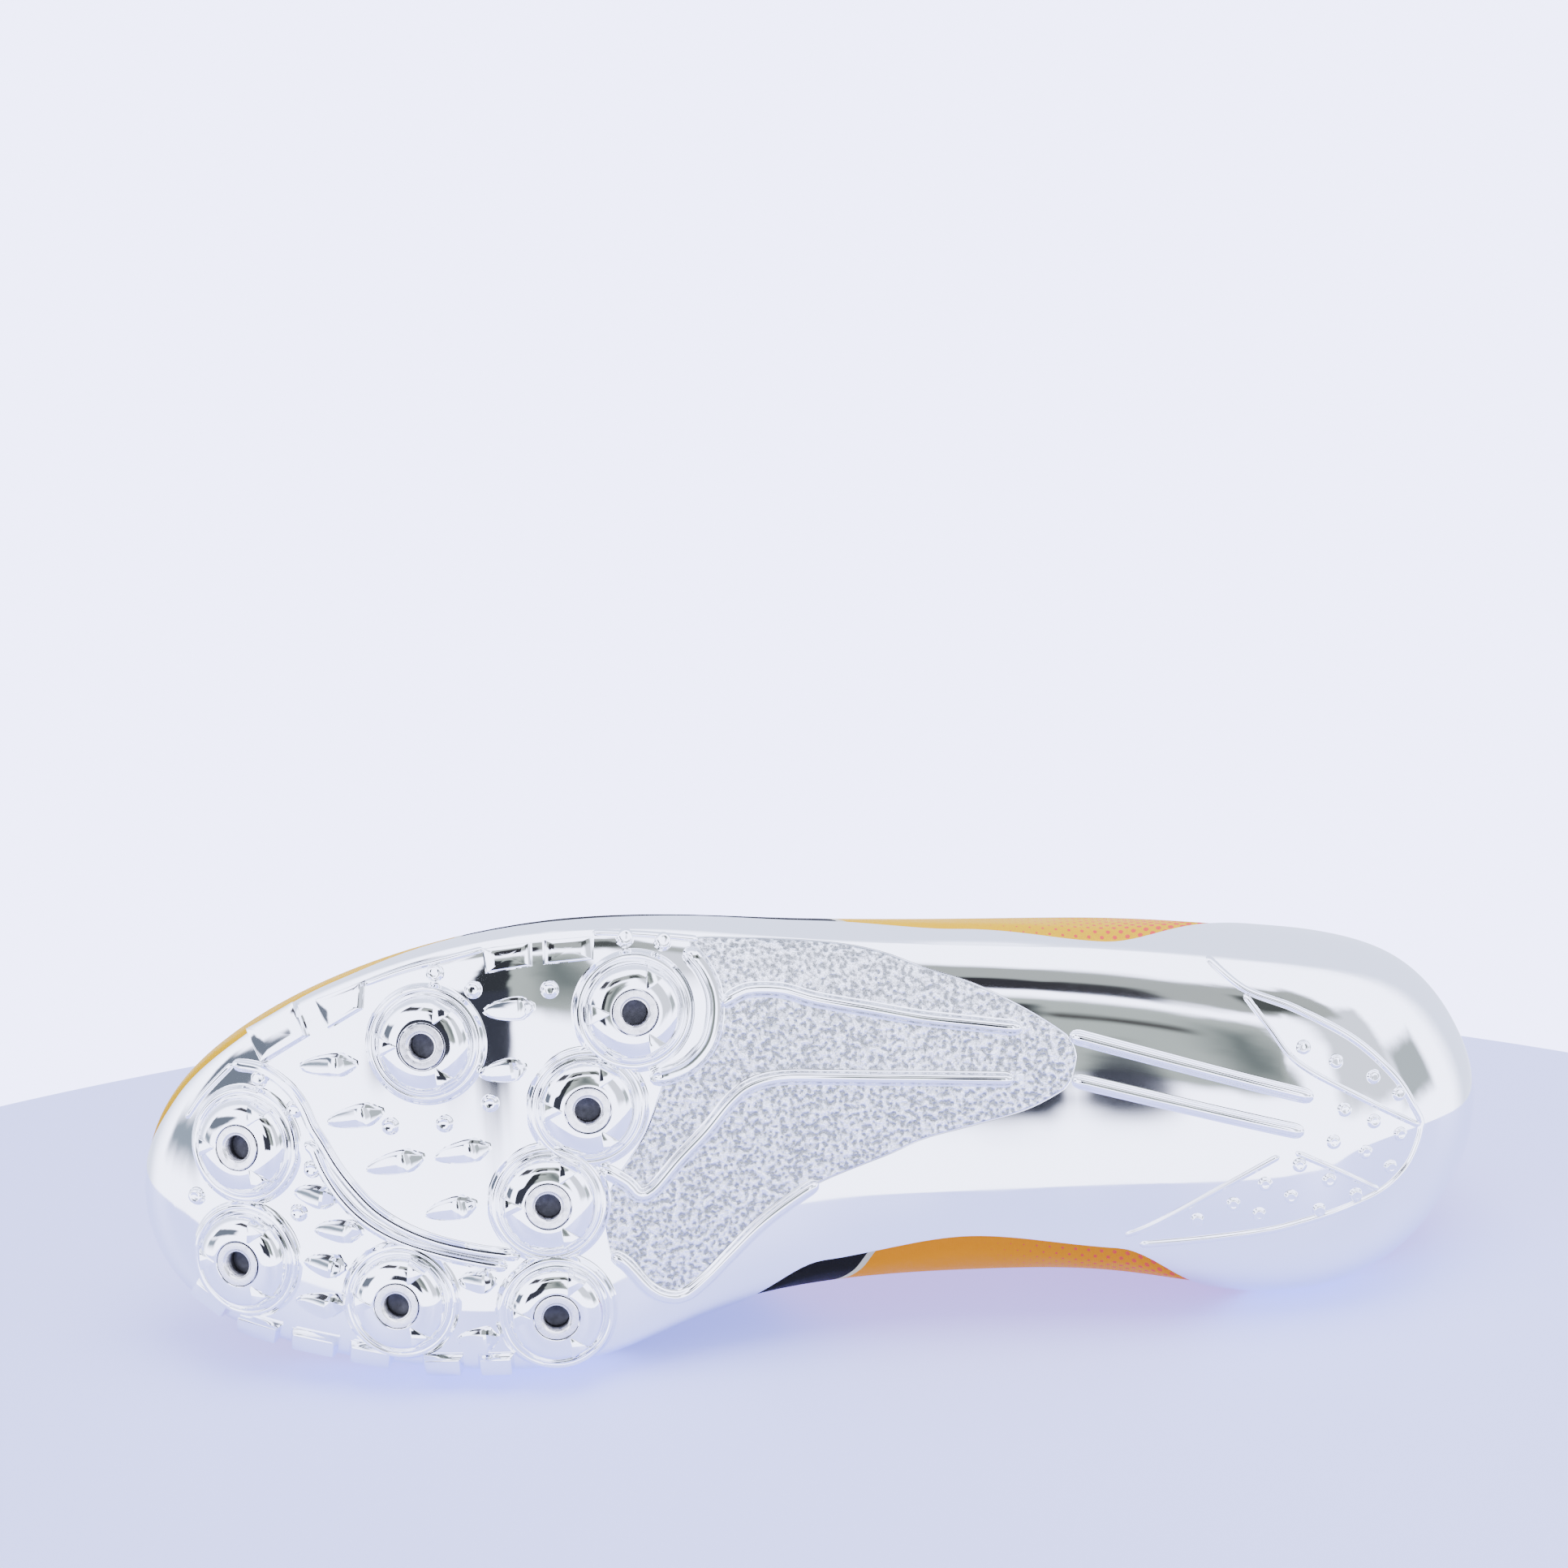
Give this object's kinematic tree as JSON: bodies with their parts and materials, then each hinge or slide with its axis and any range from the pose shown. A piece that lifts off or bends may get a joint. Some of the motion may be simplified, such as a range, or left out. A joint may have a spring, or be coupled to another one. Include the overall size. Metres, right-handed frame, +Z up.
{
  "type": "track spike shoe",
  "caption": "Sprint running shoe for the left foot, lying on its medial side, with a mirror-plated full-length sole plate, threaded spike seats, a heel cup and a thin closed upper",
  "frame": {"origin": "middle of the bounding box at floor level, with the shoe lying on its medial side", "axes": "+X runs from toe to heel and is the longest extent, -Y is the way the sole faces and +Z is up, which is the shoe's lateral side"},
  "size_m": [0.2808, 0.095, 0.0922],
  "materials": {
    "plate": "mirror-plated plastic",
    "insert": "machined steel insert",
    "upper": "thin coated textile, yellow to orange with printed dots, black middle panel",
    "insole": "black textile on thin foam",
    "tongue": "orange padded textile",
    "lace": "flat black woven lace"
  },
  "bodies": {
    "root": {"spike_plate": "plate", "spike_receptacle_1": "insert", "spike_receptacle_2": "insert", "spike_receptacle_3": "insert", "spike_receptacle_4": "insert", "spike_receptacle_5": "insert", "spike_receptacle_6": "insert", "spike_receptacle_7": "insert", "spike_receptacle_8": "insert", "upper": "upper", "insole": "insole", "tongue": "tongue", "lace": "lace"}
  },
  "joints": []
}
